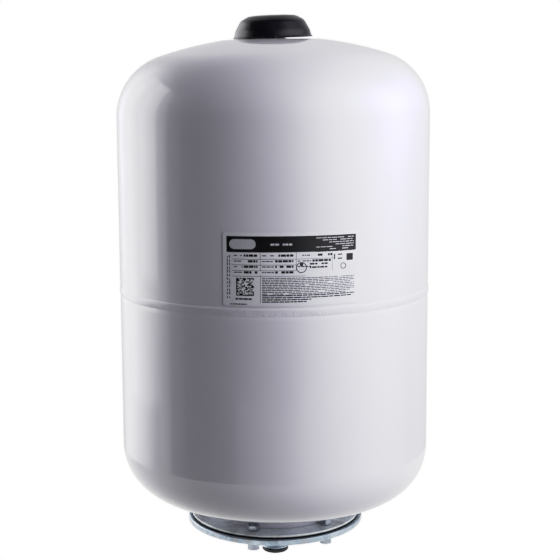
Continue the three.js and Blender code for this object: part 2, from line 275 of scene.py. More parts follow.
class Nodes:
    """Short calls for building one material's nodes. Coordinates are the object's own, in metres."""

    def __init__(self, material):
        self.tree = material.node_tree
        self.shader = self.tree.nodes["Principled BSDF"]
        self.place = self.tree.nodes.new("ShaderNodeTexCoord").outputs["Object"]

    def add(self, kind, inputs=(), **settings):
        node = self.tree.nodes.new(kind)
        for key, value in settings.items():
            setattr(node, key, value)
        for key, value in dict(inputs).items():
            if isinstance(value, bpy.types.NodeSocket):
                self.tree.links.new(value, node.inputs[key])
            else:
                node.inputs[key].default_value = value
        return node

    def noise(self, size_mm, detail=2.0, roughness=0.5, vector=None):
        """Noise whose blobs are about size_mm across."""
        settings = {"Scale": 1 / (size_mm * MM), "Detail": detail, "Roughness": roughness}
        node = self.add("ShaderNodeTexNoise", {"Vector": vector or self.place, **settings})
        return node.outputs["Fac"]

    def stretched(self, x, y, z):
        """The object's coordinates, scaled along each axis."""
        return self.add("ShaderNodeMapping", {"Vector": self.place, "Scale": (x, y, z)}).outputs["Vector"]

    def spread(self, value, low, high, from_low=0.3, from_high=0.7):
        """The value's middle range, spread over low to high."""
        limits = {"From Min": from_low, "From Max": from_high, "To Min": low, "To Max": high}
        return self.add("ShaderNodeMapRange", {"Value": value, **limits}).outputs["Result"]

    def blend(self, factor, first, second):
        node = self.add("ShaderNodeMix", {"Factor": factor}, data_type="RGBA")
        for socket, value in ((node.inputs[6], first), (node.inputs[7], second)):
            if isinstance(value, bpy.types.NodeSocket):
                self.tree.links.new(value, socket)
            else:
                socket.default_value = (*value, 1)
        return node.outputs[2]

    def bump(self, height, depth_mm, strength=1.0, under=None):
        inputs = {"Height": height, "Distance": depth_mm * MM, "Strength": strength}
        if under is not None:
            inputs["Normal"] = under
        return self.add("ShaderNodeBump", inputs).outputs["Normal"]

    def set(self, **values):
        """Shader inputs by name, with _ for a space."""
        for key, value in values.items():
            socket = self.shader.inputs[key.replace("_", " ")]
            if isinstance(value, bpy.types.NodeSocket):
                self.tree.links.new(value, socket)
            elif socket.type == "RGBA":
                socket.default_value = (*value, 1)
            else:
                socket.default_value = value


def new_material(name):
    material = bpy.data.materials.new(name)
    material.use_nodes = True
    return material, Nodes(material)


def make_paint():
    """Glossy stoved paint, white with a lavender cast, with fine orange peel."""
    material, n = new_material("paint")
    cloud = n.spread(n.noise(90, 3), 0.0, 1.0)
    n.set(Base_Color=n.blend(cloud, (0.765, 0.755, 0.835), (0.80, 0.79, 0.865)))
    n.set(Roughness=n.spread(n.noise(25, 3), 0.30, 0.38))
    peel = n.bump(n.noise(2.6, 1.0), 0.012, 0.5)
    n.set(Normal=n.bump(n.noise(45, 2), 0.25, 0.35, peel))
    n.set(Coat_Normal=n.bump(n.noise(45, 2), 0.25, 0.35, peel))
    n.set(Coat_Weight=1.0, Coat_Roughness=0.05, Coat_IOR=1.5, Specular_IOR_Level=0.25)
    return material


def make_zinc(name, dark, light, metallic):
    """Galvanised steel: dull bluish crystals, a few warmer stains. A low metallic value with lighter colours
    makes a copy that shows painted light on a shaded part.
    """
    material, n = new_material(name)
    crystals = n.add("ShaderNodeTexVoronoi", {"Vector": n.place, "Scale": 1 / (5 * MM), "Randomness": 1.0})
    facet = n.add("ShaderNodeSeparateColor", {"Color": crystals.outputs["Color"]}).outputs["Red"]
    cool = n.blend(facet, dark, light)
    stain = n.spread(n.noise(16, 4, 0.6), 0.0, 0.55, 0.52, 0.70)
    n.set(Base_Color=n.blend(stain, cool, (0.42, 0.36, 0.33)))
    n.set(Metallic=metallic, Roughness=n.spread(n.noise(7, 4, 0.6), 0.26, 0.46))
    n.set(Normal=n.bump(n.noise(1.4, 3), 0.03, 0.5, n.bump(n.noise(12, 2), 0.25, 0.4)))
    return material


def make_bolt_zinc():
    """Bright zinc plating on the fasteners."""
    material, n = new_material("bright_zinc")
    n.set(Base_Color=n.blend(n.spread(n.noise(4, 3), 0, 1), (0.26, 0.28, 0.32), (0.44, 0.47, 0.52)))
    n.set(Metallic=1.0, Roughness=n.spread(n.noise(2.5, 3), 0.22, 0.40))
    n.set(Normal=n.bump(n.noise(0.8, 2), 0.02, 0.4))
    return material


def make_plastic():
    """Glossy black moulded plastic with faint flow lines and scuffs."""
    material, n = new_material("black_plastic")
    n.set(Base_Color=n.blend(n.spread(n.noise(12, 3), 0, 1), (0.009, 0.009, 0.014), (0.018, 0.017, 0.026)))
    scuffs = n.noise(3, 5, 0.7, n.stretched(1, 1, 0.2))
    n.set(Roughness=n.spread(scuffs, 0.14, 0.30), Specular_IOR_Level=0.55)
    n.set(Normal=n.bump(n.noise(1.1, 2), 0.008, 0.5, n.bump(n.noise(18, 1), 0.15, 0.3)))
    return material


def make_rubber():
    material, n = new_material("rubber")
    n.set(Base_Color=n.blend(n.noise(9, 4), (0.012, 0.012, 0.012), (0.030, 0.029, 0.028)))
    n.set(Roughness=n.spread(n.noise(4, 3), 0.65, 0.85))
    n.set(Normal=n.bump(n.noise(0.7, 3), 0.05, 0.6))
    return material


def make_brass():
    """Turned brass, with the fine rings that the lathe leaves."""
    material, n = new_material("brass")
    n.set(Base_Color=n.blend(n.spread(n.noise(5, 3), 0, 1), (0.70, 0.50, 0.22), (0.82, 0.62, 0.32)))
    rings = n.noise(0.6, 1, 0.5, n.stretched(0.02, 0.02, 1))
    n.set(Metallic=1.0, Roughness=n.spread(rings, 0.18, 0.34))
    n.set(Normal=n.bump(rings, 0.01, 0.5))
    return material


def make_wire():
    material, n = new_material("spring_wire")
    n.set(Base_Color=n.blend(n.noise(0.8, 3), (0.40, 0.41, 0.43), (0.58, 0.59, 0.60)))
    n.set(Metallic=1.0, Roughness=n.spread(n.noise(0.5, 2), 0.22, 0.40))
    n.set(Normal=n.bump(n.noise(0.15, 2), 0.005, 0.5))
    return material


def make_seal_red():
    material, n = new_material("seal_red")
    n.set(Base_Color=n.blend(n.noise(1.0, 3), (0.50, 0.04, 0.025), (0.60, 0.07, 0.045)))
    n.set(Roughness=n.spread(n.noise(0.6, 2), 0.40, 0.60))
    n.set(Normal=n.bump(n.noise(0.2, 2), 0.01, 0.4))
    return material


def make_film():
    """Satin label film, slightly brighter than the paint round it."""
    material, n = new_material("label_film")
    n.set(Base_Color=n.blend(n.spread(n.noise(20, 3), 0, 1), (0.80, 0.80, 0.87), (0.84, 0.84, 0.90)))
    n.set(Roughness=n.spread(n.noise(6, 3), 0.26, 0.36))
    n.set(Normal=n.bump(n.noise(1.2, 2), 0.006, 0.4))
    return material


def make_ink(name, dark, light, roughness):
    material, n = new_material(name)
    n.set(Base_Color=n.blend(n.noise(3, 3), dark, light))
    n.set(Roughness=n.spread(n.noise(1.5, 3), roughness - 0.05, roughness + 0.05))
    return material


# -------- outlines

def arc(r, z, radius, start, end, steps):
    """Points round (r, z), between two angles in degrees from +R towards +Z."""
    angles = [math.radians(start + (end - start) * i / steps) for i in range(steps + 1)]
    return [(r + radius * math.cos(a), z + radius * math.sin(a)) for a in angles]


def rounded(corners, steps=4):
    """A closed outline with its corners rounded. A corner is (r, z), or (r, z, radius)."""
    made = []
    for i, corner in enumerate(corners):
        point = Vector(corner[:2])
        if len(corner) == 2:
            made.append(tuple(point))
            continue
        before = Vector(corners[i - 1][:2]) - point
        after = Vector(corners[(i + 1) % len(corners)][:2]) - point
        reach = corner[2] / math.tan(before.angle(after) / 2)
        reach = min(reach, 0.48 * before.length, 0.48 * after.length)
        first = point + before.normalized() * reach
        last = point + after.normalized() * reach
        for k in range(steps + 1):
            t = k / steps
            made.append(tuple(first * (1 - t) ** 2 + point * 2 * t * (1 - t) + last * t * t))
    return made


def straight(start, end, pieces):
    """The points between two outline points, without the two themselves."""
    return [
        (start[0] + (end[0] - start[0]) * i / pieces, start[1] + (end[1] - start[1]) * i / pieces)
        for i in range(1, pieces)
    ]


# -------- meshes

def finish_mesh(name, mesh_code, material, sharp=SHARP):
    """A new object from a bmesh in millimetres: normals out, smooth but for edges sharper than that."""
    bmesh.ops.remove_doubles(mesh_code, verts=mesh_code.verts, dist=1e-5)
    bmesh.ops.recalc_face_normals(mesh_code, faces=mesh_code.faces)
    bmesh.ops.scale(mesh_code, verts=mesh_code.verts, vec=(MM, MM, MM))
    mesh = bpy.data.meshes.new(name)
    mesh_code.to_mesh(mesh)
    mesh_code.free()
    mesh.shade_smooth()
    mesh.set_sharp_from_angle(angle=math.radians(sharp))
    mesh.materials.append(material)
    piece = bpy.data.objects.new(name, mesh)
    bpy.context.scene.collection.objects.link(piece)
    return piece


def turn_outline(code, outline, sides, shape=None):
    """Adds a solid of revolution round Z. shape(r, z, angle) may move each point, as (r, z)."""
    rings = []
    for r, z in outline:
        if r < 1e-6:
            rings.append([code.verts.new((0, 0, z))])
            continue
        ring = []
        for i in range(sides):
            angle = 2 * math.pi * i / sides
            at_r, at_z = shape(r, z, angle) if shape else (r, z)
            ring.append(code.verts.new((at_r * math.cos(angle), at_r * math.sin(angle), at_z)))
        rings.append(ring)
    for k, low in enumerate(rings):
        high = rings[(k + 1) % len(rings)]
        if len(low) == len(high) == 1:
            continue
        for i in range(sides):
            j = (i + 1) % sides
            corners = [low[i % len(low)], low[j % len(low)], high[j % len(high)], high[i % len(high)]]
            code.faces.new(list(dict.fromkeys(corners)))


def turned(name, outline, material, sides=128, shape=None, sharp=SHARP):
    code = bmesh.new()
    turn_outline(code, outline, sides, shape)
    return finish_mesh(name, code, material, sharp)


def skin(code, first, second):
    """Faces all round between two closed rows of points."""
    count = len(first)
    for k in range(count):
        after = (k + 1) % count
        code.faces.new([first[k], first[after], second[after], second[k]])


def cut(piece, name, make_cutter):
    """Cuts a solid out of a piece. make_cutter fills a bmesh, in millimetres."""
    code = bmesh.new()
    make_cutter(code)
    cutter = finish_mesh(name, code, piece.data.materials[0])
    boolean = piece.modifiers.new("cut", "BOOLEAN")
    boolean.object = cutter
    boolean.operation = "DIFFERENCE"
    boolean.solver = "EXACT"
    bpy.context.view_layer.update()
    evaluated = piece.evaluated_get(bpy.context.evaluated_depsgraph_get())
    mesh = bpy.data.meshes.new_from_object(evaluated)
    piece.modifiers.clear()
    piece.data = mesh
    mesh.name = piece.name
    mesh.set_sharp_from_angle(angle=math.radians(SHARP))
    bpy.data.objects.remove(cutter)


def settle(piece, body, slot, *nodes):
    """Tells the frame which body a piece rides on and which nodes it replaces. The slot is not used."""
    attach(piece, body)
    if nodes:
        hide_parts(*nodes)
    return piece


# -------- tank

def dome(tangent_z, crown, knuckle, up, inset, stop_r):
    """The outline of a torispherical end, from the straight wall to the radius where it stops."""
    centre_r = TANK_R - knuckle
    drop = math.sqrt((crown - knuckle) ** 2 - centre_r ** 2)
    crown_z = tangent_z - up * drop
    meet = math.degrees(math.atan2(drop, centre_r))
    stop = math.degrees(math.acos(stop_r / (crown - inset)))
    over_knuckle = arc(centre_r, tangent_z, knuckle - inset, 0, up * meet, 22)
    over_crown = arc(0, crown_z, crown - inset, up * meet, up * stop, 18)
    return over_knuckle + over_crown[1:]


def drawn(swell, up, upright_r):
    """Deep drawing leaves a cup a little wide and out of round, and its end leaning towards one side.

    The end leans only past the straight wall, and stays upright out to a given radius.
    """
    end_z = TOP_TANGENT if up > 0 else BOTTOM_TANGENT

    def shape(r, z, angle):
        x = r * math.cos(angle)
        place = Vector((x, r * math.sin(angle), z))
        slow = noise.noise(place / 95 + Vector((3.1, 0, 0)))
        quick = noise.noise(place / 34 + Vector((0, 7.7, 0)))
        waves = min(1, r / 60) * (swell + 0.22 * slow + 0.055 * quick)
        pull = 0.22 * math.exp(-((z - SEAM_Z) / 9) ** 2)
        past_wall = min(1, max(0.0, up * (z - end_z) / 12))
        free = min(1, max(0.0, (r - upright_r) / 40))
        return r + waves - pull, z + up * 0.012 * x * past_wall * free

    return shape


def make_upper_cup(paint):
    """The domed top, with a flat land round the valve's hole, and the wall down to the weld."""
    edge = SEAM_Z + CUP_GAP
    outside = dome(TOP_TANGENT, TOP_CROWN, TOP_KNUCKLE, 1, 0, LAND_R + 2)
    inside = dome(TOP_TANGENT, TOP_CROWN, TOP_KNUCKLE, 1, WALL, LAND_R + 2)
    rim, hole = (LAND_R, LAND_Z), (VALVE_HOLE_R, LAND_Z)
    outline = [(TANK_R, edge)]
    outline += straight((TANK_R, edge), (TANK_R, TOP_TANGENT), 26)
    outline += outside
    outline += [rim, *straight(rim, hole, 8), hole]
    outline += [(VALVE_HOLE_R, LAND_Z - WALL), (LAND_R, LAND_Z - WALL)]
    outline += inside[::-1]
    outline += straight((TANK_R - WALL, TOP_TANGENT), (TANK_R - WALL, edge), 26)
    outline += [(TANK_R - WALL, edge)]
    piece = turned("upper_cup", outline, paint, 192, drawn(0.35, 1, 16), sharp=60)
    settle(piece, "vessel", "paint", "upper_shell")


def make_lower_cup(paint):
    """The joggled edge inside the upper cup, the wall, the domed bottom and the collar."""
    edge = SEAM_Z - CUP_GAP
    joggle_top = SEAM_Z + 12
    joggle_r = TANK_R - WALL - 0.4
    foot = RING_TOP + GAP
    outside = dome(BOTTOM_TANGENT, BOTTOM_CROWN, BOTTOM_KNUCKLE, -1, 0, COLLAR_R + 3.4)
    inside = dome(BOTTOM_TANGENT, BOTTOM_CROWN, BOTTOM_KNUCKLE, -1, WALL, COLLAR_R + 2)
    turn_z = outside[-1][1]
    outline = [(joggle_r, joggle_top), (joggle_r, SEAM_Z - 0.6), (TANK_R, edge)]
    outline += straight((TANK_R, edge), (TANK_R, BOTTOM_TANGENT), 24)
    outline += outside
    outline += [(COLLAR_R + 1.4, turn_z - 0.7), (COLLAR_R + 0.4, turn_z - 1.7), (COLLAR_R, turn_z - 3)]
    outline += [(COLLAR_R, foot), (COLLAR_R - WALL, foot), (COLLAR_R - WALL, turn_z - 1)]
    outline += inside[::-1]
    outline += straight((TANK_R - WALL, BOTTOM_TANGENT), (TANK_R - WALL, edge - 0.6), 24)
    outline += [(TANK_R - WALL, edge - 0.6), (joggle_r - WALL, SEAM_Z - 1.2), (joggle_r - WALL, joggle_top)]
    piece = turned("lower_cup", outline, paint, 192, drawn(0.15, -1, COLLAR_R + 4), sharp=60)
    settle(piece, "vessel", "paint", "lower_shell")


def make_weld_bead(paint):
    """One painted pass of weld: steep above, and fading out in uneven ripples below."""
    root = TANK_R - 1.1
    middle = SEAM_Z - 0.8
    half = 3.6
    crest, crest_at = 0.75, 0.5
    ripple_pitch = 3.0

    def shape(r, z, angle):
        along = angle * TANK_R
        place = Vector((math.cos(angle), math.sin(angle), 0))
        wander = 0.30 * noise.noise(place * 9) + 0.15 * noise.noise(place * 31)
        height = 1 + 0.25 * noise.noise(place * 11 + Vector((0, 5, 0)))
        across = (z - middle) / half
        proud = max(0.0, r - TANK_R)
        crescent = math.sin(2 * math.pi * (along / ripple_pitch - 0.5 * across * across))
        lumps = noise.noise(place * 45 + Vector((0, 0, 1.5 * across)))
        below = min(1, max(0.0, crest_at - across))
        proud = proud * height + below * (0.05 * crescent + 0.22 * lumps) * min(1, proud / 0.2)
        return min(r, TANK_R) + 0.1 + proud, middle + wander + across * half

    outline = [(root, middle - half + 0.5)]
    steps = 14
    for i in range(steps + 1):
        across = -1 + 2 * i / steps
        flank = 1 - crest_at if across > crest_at else 1 + crest_at
        bulge = max(0.0, 1 - ((across - crest_at) / flank) ** 2)
        outline.append((TANK_R + crest * bulge, middle + across * half))
    outline.append((root, middle + half - 0.5))
    piece = turned("weld_bead", outline, paint, 1500, shape, sharp=75)
    settle(piece, "vessel", "paint", "girth_weld")


# -------- label

def on_tank(u, v, lift):
    """A point of the label: u along the wall and v up it from its lower left corner, in mm."""
    radius = LABEL_R + lift
    angle = math.radians(LABEL_TURNS[0]) + u / LABEL_R
    return Vector((radius * math.sin(angle), -radius * math.cos(angle), LABEL_HEIGHTS[0] + v))


def add_patch(code, columns, low, high):
    """A thin closed sheet on the tank's wall. Each column is (u, lowest v, highest v)."""
    grid = []
    for u, v_low, v_high in columns:
        places = [(v_low, low), (v_high, low), (v_high, high), (v_low, high)]
        grid.append([code.verts.new(on_tank(u, v, lift)) for v, lift in places])
    for left, right in zip(grid, grid[1:]):
        skin(code, left, right)
    code.faces.new(grid[0])
    code.faces.new(grid[-1][::-1])


def bar_columns(u_low, u_high, v_low, v_high, corner=0.0):
    """The columns of a bar, about every 3 mm, with round corners if it has any."""
    angles = (0, 0.4, 0.8, 1.2, math.pi / 2) if corner else (0,)
    bends = [(corner * (1 - math.cos(a)), corner * (1 - math.sin(a))) for a in angles]
    count = max(1, round((u_high - u_low - 2 * corner) / 3))
    left = [(u_low + du, v_low + dv, v_high - dv) for du, dv in bends]
    right = [(u_high - du, v_low + dv, v_high - dv) for du, dv in bends[::-1]]
    first, last = u_low + corner, u_high - corner
    middle = [(first + (last - first) * i / count, v_low, v_high) for i in range(1, count)]
    return left + middle + right


# How far the two faces of a layer of ink lie above the film.
INK = (0.001, 0.018)
INK_ON_INK = (0.017, 0.034)
RULE, DASH_GAP = 0.28, 0.55
HEADER_LOW, HEADER_HEIGHT = 43.9, 13.0


def add_bar(code, u, v, width, height, layer=INK, corner=0.0):
    add_patch(code, bar_columns(u, u + width, v, v + height, corner), *layer)


def add_loop(code, u, v, radius, width, layer=INK):
    """A printed circle line."""
    sides = 28
    rings = []
    for i in range(sides):
        a = 2 * math.pi * i / sides
        inner = radius - width
        places = [(inner, layer[0]), (radius, layer[0]), (radius, layer[1]), (inner, layer[1])]
        rings.append([
            code.verts.new(on_tank(u + r * math.cos(a), v + r * math.sin(a), lift)) for r, lift in places
        ])
    for i, ring in enumerate(rings):
        skin(code, ring, rings[(i + 1) % sides])


def add_dashes(code, rng, u_low, u_high, v, height, longest, layer=INK, fill=0.9):
    """A row of short bars, where a label has a line of print."""
    u = u_low
    while u < u_high - 0.8:
        width = min(rng.uniform(0.25, 1.0) * longest, u_high - u)
        if rng.random() < fill:
            add_bar(code, u, v, width, height, layer)
        u += width + DASH_GAP


def print_table(code, rng, width):
    """Thin rules and short entries, in three columns under the header."""
    right = width - 4
    columns = [(8.5, 30.5), (31.5, 59.5), (60.5, 92)]
    rules = [(38.1, 84), (33.4, 52), (28.8, 52), (24.2, 60)]
    for v, length in rules:
        add_bar(code, 8, v, length, RULE)
    for u in (31.0, 60.2):
        add_bar(code, u, 29, RULE, 17)
    # Each row's height, and how many of its columns have a name and an entry.
    rows = [(43.0, 3, 3), (38.4, 3, 3), (33.9, 3, 2), (29.3, 2, 2)]
    for v, named, filled in rows:
        for c, (left, end) in enumerate(columns[:named]):
            middle = left + 0.42 * (end - left)
            add_dashes(code, rng, left + 1, middle - 1, v - 2.2, 0.75, 3.5)
            if c < filled:
                add_dashes(code, rng, middle, end - 1.5, v - 2.6, 1.75, 4.5)
    add_dashes(code, rng, 76, right - 1, 43.6, 2.1, 4.0)
    add_loop(code, 64.6, 31.2, 4.4, 0.65)
    add_bar(code, 63.4, 32.6, 2.5, 2.3)
    for v in (33.4, 30.6):
        add_dashes(code, rng, 71.5, 87, v, 1.3, 4.0)
    add_bar(code, 90.5, 28.2, RULE, 14.5)
    marks = [(92.2, 37.0, 1.0, 4.4), (95.6, 37.0, 4.0, 1.0), (95.6, 40.3, 4.0, 1.0), (103.4, 35.6, 6.0, 5.6)]
    for u, v, across, up in marks:
        add_bar(code, u, v, across, up)
    add_loop(code, 100.5, 31.3, 2.6, 0.7)


def print_matrix(code, rng, u, v, size):
    """A square of random cells with two solid sides. It holds no message."""
    cells = 16
    pitch = size / cells
    for row in range(cells):
        for column in range(cells):
            solid = row == 0 or column == 0
            if solid or rng.random() < 0.48:
                add_bar(code, u + column * pitch, v + row * pitch, pitch * 1.01, pitch * 1.01)


def print_small_text(code, rng, left, right):
    """Dense rows of dashes, the last four heavier and shorter."""
    for row in range(10):
        v = 22.4 - 1.42 * row
        add_dashes(code, rng, left, right - (8 if row == 9 else 0), v, 0.62, 5.0, fill=0.97)
    for row in range(4):
        v = 8.1 - 1.75 * row
        reach = (right, right - 3, right - 38, right - 42)[row]
        add_dashes(code, rng, left, reach, v, 0.95, 6.5, fill=0.97)


def make_label(film, black, grey):
    """The film, the black print, and the grey print on its header. Nothing can be read."""
    rng = random.Random(24)
    width = math.radians(LABEL_TURNS[1] - LABEL_TURNS[0]) * LABEL_R
    height = LABEL_HEIGHTS[1] - LABEL_HEIGHTS[0]
    code = bmesh.new()
    add_patch(code, bar_columns(0, width, 0, height, 2.2), -0.1, 0.0)
    film_piece = finish_mesh("label_film", code, film)
    settle(film_piece, "vessel", "label_film", "rating_label")

    band_left, band_right = 3.4, width - 4.2
    dark = bmesh.new()
    add_bar(dark, band_left, HEADER_LOW, band_right - band_left, HEADER_HEIGHT)
    print_table(dark, rng, width)
    print_matrix(dark, rng, 11.2, 8.3, 14.6)
    add_dashes(dark, rng, 10.6, 24.5, 5.0, 1.3, 4.0)
    add_dashes(dark, rng, 6.4, 20, 0.9, 0.9, 3.0)
    add_bar(dark, 31.0, 2.4, RULE, 23)
    print_small_text(dark, rng, 32.6, band_right - 1.5)
    for u in (3.6, 5.4):
        for v in range(6, 40, 3):
            add_bar(dark, u, v, 0.7, rng.uniform(1.2, 2.6))
    settle(finish_mesh("label_print_black", dark, black), "vessel", "label_film")

    light = bmesh.new()
    add_bar(light, band_left + 2.2, HEADER_LOW + 2.5, 22, 8.2, INK_ON_INK, corner=4.0)
    add_dashes(light, rng, 39.5, 58.5, 49.4, 1.7, 4.5, INK_ON_INK)
    for row in range(6):
        left = 77 + 5.5 * ((row * 5) % 4)
        add_dashes(light, rng, left, band_right - 2, 54.6 - 1.85 * row, 0.75, 6, INK_ON_INK)
    settle(finish_mesh("label_print_grey", light, grey), "vessel", "label_film")


# -------- neck, flange and bolts

def bolt_places():
    for i in range(BOLTS):
        yield i, heading(FIRST_BOLT_TURN + 360 / BOLTS * i) * BOLT_CIRCLE_R


def add_bolt_holes(low, high):
    """What fills a cutter with the pins that cut the bolt holes."""

    def make_cutter(code):
        for _, place in bolt_places():
            hole = bmesh.new()
            turn_outline(hole, [(0, low), (BOLT_HOLE_R, low), (BOLT_HOLE_R, high), (0, high)], 32)
            bmesh.ops.translate(hole, verts=hole.verts, vec=place)
            copy_into(code, hole)

    return make_cutter


def copy_into(code, other):
    """Adds a second bmesh to the first, and frees it."""
    twins = {v: code.verts.new(v.co) for v in other.verts}
    for face in other.faces:
        code.faces.new([twins[v] for v in face.verts])
    other.free()


def make_neck_ring(zinc):
    outline = rounded([
        (RING_BORE, RING_Z, 0.3),
        (RING_R, RING_Z, 0.5),
        (RING_R, RING_TOP, 0.7),
        (RING_BORE, RING_TOP, 0.3),
    ])
    # The zinc passed in here is the ring's lighter copy, painted light on a top that lies in shade.
    piece = turned("flat_neck_ring", outline, zinc, 160)
    cut(piece, "neck_ring_cutter", add_bolt_holes(RING_Z - 1, RING_TOP + 1))
    settle(piece, "vessel", "zinc", "neck_ring")


def make_collar_weld(paint):
    """The fillet between the collar and the neck ring, under the tank's paint."""
    low = RING_TOP + GAP
    inner = COLLAR_R + 0.25

    def shape(r, z, angle):
        place = Vector((math.cos(angle), math.sin(angle), 0)) * 12
        swell = 1 + 0.5 * noise.noise(place)
        return inner + (r - inner) * swell, low + (z - low) * swell

    outline = rounded([
        (inner, low),
        (COLLAR_R + 1.7, low, 0.4),
        (COLLAR_R + 1.1, low + 0.7, 0.4),
        (inner, low + 1.6, 0.4),
    ])
    piece = turned("collar_weld", outline, paint, 240, shape, 50)
    settle(piece, "vessel", "paint", "neck_weld")


def make_counterflange(zinc):
    """A pressed plate with a rolled-up rim, a raised centre and a recess for the nipple's weld."""
    hole = NIPPLE_R + GAP
    under = FLANGE_Z + DISH_RISE
    rim_r = FLANGE_R - 2.6
    outline = rounded([
        (hole, under + 0.4),
        (17.5, under + 0.4, 0.2),
        (17.5, under, 0.2),
        (DISH_R, under, 0.8),
        (DISH_R + 2.5, FLANGE_Z, 0.8),
        (FLANGE_R, FLANGE_Z, 1.5),
        (FLANGE_R, RIM_TOP, 1.1),
        (rim_r, RIM_TOP, 0.9),
        (rim_r, FLANGE_Z + PLATE, 0.6),
        (DISH_R + 3.7, FLANGE_Z + PLATE, 0.8),
        (DISH_R + 1.2, under + PLATE, 0.8),
        (hole, under + PLATE),
    ], 6)
    piece = turned("pressed_flange", outline, zinc, 192)
    cut(piece, "flange_cutter", add_bolt_holes(FLANGE_Z - 1, FLANGE_Z + PLATE + 1))
    settle(piece, "vessel", "zinc", "counterflange")


def hexagon(flats):
    """The radii of a nut's flat face, which the chamfer leaves, and of its corners."""
    return 0.96 * flats / 2, flats / 2 / math.cos(math.radians(30))


def hexed(flats, top=None, bottom=None):
    """Squeezes a round outline to a hexagon. Its corners are chamfered at the top or bottom height."""
    face, _ = hexagon(flats)

    def shape(r, z, angle):
        off = (math.degrees(angle) + 30) % 60 - 30
        reach = flats / 2 / math.cos(math.radians(off))
        if r <= face:
            return r, z
        at_r = min(r, reach)
        drop = max(0.0, (at_r - face) * math.tan(math.radians(30)))
        if top is not None and z >= top - 1e-6:
            return at_r, top - drop
        if bottom is not None and z <= bottom + 1e-6:
            return at_r, bottom + drop
        return at_r, z

    return shape


def threaded(crest, depth, pitch, low, high):
    """Cuts a screw thread into the stretch of an outline that lies at the crest radius."""

    def shape(r, z, angle):
        if abs(r - crest) > 1e-6 or not low < z < high:
            return r, z
        phase = (z / pitch - angle / (2 * math.pi)) % 1
        fade = min(1, (z - low) / pitch, (high - z) / pitch)
        groove = min(1, max(0, 1.25 * (1 - abs(2 * phase - 1)) - 0.12))
        return r - depth * fade * groove, z

    return shape


def thread_outline(crest, low, high, pitch):
    """A stretch at the crest radius, with enough points for threaded() to cut."""
    count = round((high - low) / pitch * 8)
    return [(crest, low), *straight((crest, low), (crest, high), count), (crest, high)]


WASHER_TOP = box_mm("bolt_washer_1")[1].z
WASHER_LOW = box_mm("bolt_washer_1")[0].z
HEAD_TOP = WASHER_LOW - GAP
HEAD_LOW = box_mm("flange_bolt_1")[0].z
BOLT_END = box_mm("flange_bolt_1")[1].z
NUT_LOW, NUT_HIGH = (corner.z for corner in box_mm("flange_nut_1"))


def place_at_bolt(code, place, twist):
    """Twists a fastener made on the axis by some degrees, and moves it to its bolt's place."""
    bmesh.ops.rotate(code, verts=code.verts, matrix=Matrix.Rotation(math.radians(twist), 3, "Z"))
    bmesh.ops.translate(code, verts=code.verts, vec=place)


def add_bolt(code):
    """Head and shank are one forging: a dimpled hexagon, its flange, then the thread."""
    face, corner = hexagon(HEX_FLATS)
    disc_low = HEAD_TOP - HEAD_FLANGE
    dimple_r, dimple = 3.4, 0.35
    squeeze = hexed(HEX_FLATS, bottom=HEAD_LOW)
    screw = threaded(BOLT_R, 0.5, BOLT_PITCH, HEAD_TOP + 3, BOLT_END + 1)
    outline = [(0, HEAD_LOW + dimple), (dimple_r - 0.65, HEAD_LOW + dimple), (dimple_r, HEAD_LOW)]
    outline += [(face, HEAD_LOW), (corner, HEAD_LOW), (corner, HEAD_LOW + 0.5), (corner, disc_low - 0.3)]
    outline += [(HEAD_FLANGE_R - 0.3, disc_low + 0.1), (HEAD_FLANGE_R, disc_low + 0.5)]
    outline += [(HEAD_FLANGE_R, HEAD_TOP - 0.2), (HEAD_FLANGE_R - 0.2, HEAD_TOP)]
    outline += thread_outline(BOLT_R, HEAD_TOP, BOLT_END - 0.8, BOLT_PITCH)
    outline += [(BOLT_R - 0.7, BOLT_END), (0, BOLT_END)]

    def shape(r, z, angle):
        if z > HEAD_TOP - 1e-6 and r <= BOLT_R + 1e-6:
            return screw(r, z, angle)
        return (r, z) if r > corner + 1e-6 else squeeze(r, z, angle)

    turn_outline(code, outline, 48, shape)


def nut_outline(flats, bore, low, high, edge):
    """A nut as turned before its sides are squeezed flat. Edge is the height kept free for the chamfers."""
    face, corner = hexagon(flats)
    outline = [(bore + 0.5, low), (face, low), (corner, low), (corner, low + edge)]
    outline += [(corner, high - edge), (corner, high), (face, high), (bore + 0.5, high)]
    return outline + [(bore, high - 0.5), (bore, low + 0.5)]


def add_nut(code):
    outline = nut_outline(HEX_FLATS, BOLT_R + 0.25, NUT_LOW, NUT_HIGH, 0.9)
    turn_outline(code, outline, 48, hexed(HEX_FLATS, top=NUT_HIGH, bottom=NUT_LOW))


def add_washer(code):
    """A stamped washer, rounder below."""
    outline = rounded([
        (BOLT_HOLE_R, WASHER_LOW, 0.1),
        (6.0, WASHER_LOW, 0.35),
        (6.0, WASHER_TOP, 0.2),
        (BOLT_HOLE_R, WASHER_TOP, 0.1),
    ], 3)
    turn_outline(code, outline, 64)


FASTENERS = (
    ("hex_bolt", "flange_bolt", add_bolt),
    ("hex_nut", "flange_nut", add_nut),
    ("washer", "bolt_washer", add_washer),
)


def make_bolts(bright):
    """Six bolts with their washers and nuts, each twisted to where the spanner left it."""
    rng = random.Random(6)
    for i, place in bolt_places():
        for kind, node, add in FASTENERS:
            code = bmesh.new()
            add(code)
            place_at_bolt(code, place, FIRST_BOLT_TURN - 90 + 60 * i + rng.choice((-14, -6, 4, 11)) % 60)
            piece = finish_mesh(f"{kind}_{i + 1}", code, bright, 28)
            settle(piece, "vessel", "zinc", f"{node}_{i + 1}")


# -------- water connection

